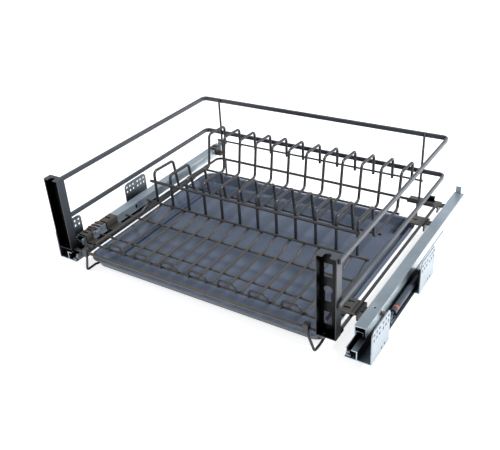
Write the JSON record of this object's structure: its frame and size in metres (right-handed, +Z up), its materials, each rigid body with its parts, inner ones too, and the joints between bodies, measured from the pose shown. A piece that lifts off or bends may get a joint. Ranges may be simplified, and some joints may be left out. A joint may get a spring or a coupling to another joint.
{
  "type": "pull-out dish rack",
  "caption": "Wire pull-out dish rack with upright plate dividers, a bowl rack in front, a drip tray and soft-close runners for the cabinet's sides.",
  "frame": {"origin": "centre of the four corner screw holes of the left front screw plate, on the plate's face that lies on the cabinet's side", "axes": "+X to the right across the cabinet, +Y from the front into the cabinet, +Z up"},
  "size_m": [0.568, 0.45, 0.171],
  "materials": {
    "bronze_wire": "satin",
    "graphite_bar": "satin",
    "zinc_steel": "satin",
    "tray_plastic": "satin",
    "damper_plastic": "satin",
    "ring_plastic": "satin",
    "roller_plastic": "satin"
  },
  "bodies": {
    "runners": {"left_front_plate": "zinc_steel", "left_rear_plate": "zinc_steel", "left_cabinet_rail": "zinc_steel", "left_damper": "damper_plastic", "left_damper_ring": "ring_plastic", "right_front_plate": "zinc_steel", "right_rear_plate": "zinc_steel", "right_cabinet_rail": "zinc_steel", "right_damper": "damper_plastic", "right_damper_ring": "ring_plastic"},
    "basket": {"base_frame": "bronze_wire", "base_front_wire": "bronze_wire", "bowl_front_wire": "bronze_wire", "bowl_rear_wire": "bronze_wire", "bowl_second_wire": "bronze_wire", "bowl_third_wire": "bronze_wire", "bowl_wires": "bronze_wire", "carrier_clips": "bronze_wire", "divider_01": "bronze_wire", "divider_02": "bronze_wire", "divider_03": "bronze_wire", "divider_04": "bronze_wire", "divider_05": "bronze_wire", "divider_06": "bronze_wire", "divider_07": "bronze_wire", "divider_08": "bronze_wire", "divider_09": "bronze_wire", "divider_10": "bronze_wire", "divider_11": "bronze_wire", "divider_12": "bronze_wire", "drip_tray": "tray_plastic", "foot_wire": "bronze_wire", "front_arches": "bronze_wire", "front_row_rail": "bronze_wire", "left_drawer_rail": "zinc_steel", "left_fixing_plates": "bronze_wire", "left_front_bracket": "graphite_bar", "middle_rail_bar": "graphite_bar", "rear_posts": "bronze_wire", "right_drawer_rail": "zinc_steel", "right_fixing_plates": "bronze_wire", "right_front_bracket": "graphite_bar", "top_rail": "graphite_bar", "tray_carriers": "bronze_wire", "upper_rear_wire": "bronze_wire", "valley_wire": "bronze_wire"},
    "left_middle": {"left_middle_rail": "zinc_steel"},
    "left_upper_cage": {"left_upper_rollers": "roller_plastic"},
    "left_lower_cage": {"left_lower_rollers": "roller_plastic"},
    "left_plunger": {"left_damper_rod": "damper_plastic"},
    "right_middle": {"right_middle_rail": "zinc_steel"},
    "right_upper_cage": {"right_upper_rollers": "roller_plastic"},
    "right_lower_cage": {"right_lower_rollers": "roller_plastic"},
    "right_plunger": {"right_damper_rod": "damper_plastic"}
  },
  "joints": [
    {"name": "basket_pull", "type": "slide", "parent": "runners", "child": "basket", "axis": [0, -1, 0], "range_m": [0, 0.4]},
    {"name": "left_middle_slide", "type": "slide", "parent": "runners", "child": "left_middle", "axis": [0, -1, 0], "range_m": [0, 0.2]},
    {"name": "right_middle_slide", "type": "slide", "parent": "runners", "child": "right_middle", "axis": [0, -1, 0], "range_m": [0, 0.2]},
    {"name": "left_upper_cage_slide", "type": "slide", "parent": "runners", "child": "left_upper_cage", "axis": [0, -1, 0], "range_m": [0, 0.3]},
    {"name": "right_upper_cage_slide", "type": "slide", "parent": "runners", "child": "right_upper_cage", "axis": [0, -1, 0], "range_m": [0, 0.3]},
    {"name": "left_lower_cage_slide", "type": "slide", "parent": "runners", "child": "left_lower_cage", "axis": [0, -1, 0], "range_m": [0, 0.1]},
    {"name": "right_lower_cage_slide", "type": "slide", "parent": "runners", "child": "right_lower_cage", "axis": [0, -1, 0], "range_m": [0, 0.1]},
    {"name": "left_damper_stroke", "type": "slide", "parent": "runners", "child": "left_plunger", "axis": [0, -1, 0], "range_m": [0, 0.04]},
    {"name": "right_damper_stroke", "type": "slide", "parent": "runners", "child": "right_plunger", "axis": [0, -1, 0], "range_m": [0, 0.04]}
  ],
  "couplings": [
    {"joint": "left_middle_slide", "follows": "basket_pull", "ratio": 0.5},
    {"joint": "right_middle_slide", "follows": "basket_pull", "ratio": 0.5},
    {"joint": "left_upper_cage_slide", "follows": "basket_pull", "ratio": 0.75},
    {"joint": "right_upper_cage_slide", "follows": "basket_pull", "ratio": 0.75},
    {"joint": "left_lower_cage_slide", "follows": "basket_pull", "ratio": 0.25},
    {"joint": "right_lower_cage_slide", "follows": "basket_pull", "ratio": 0.25}
  ]
}
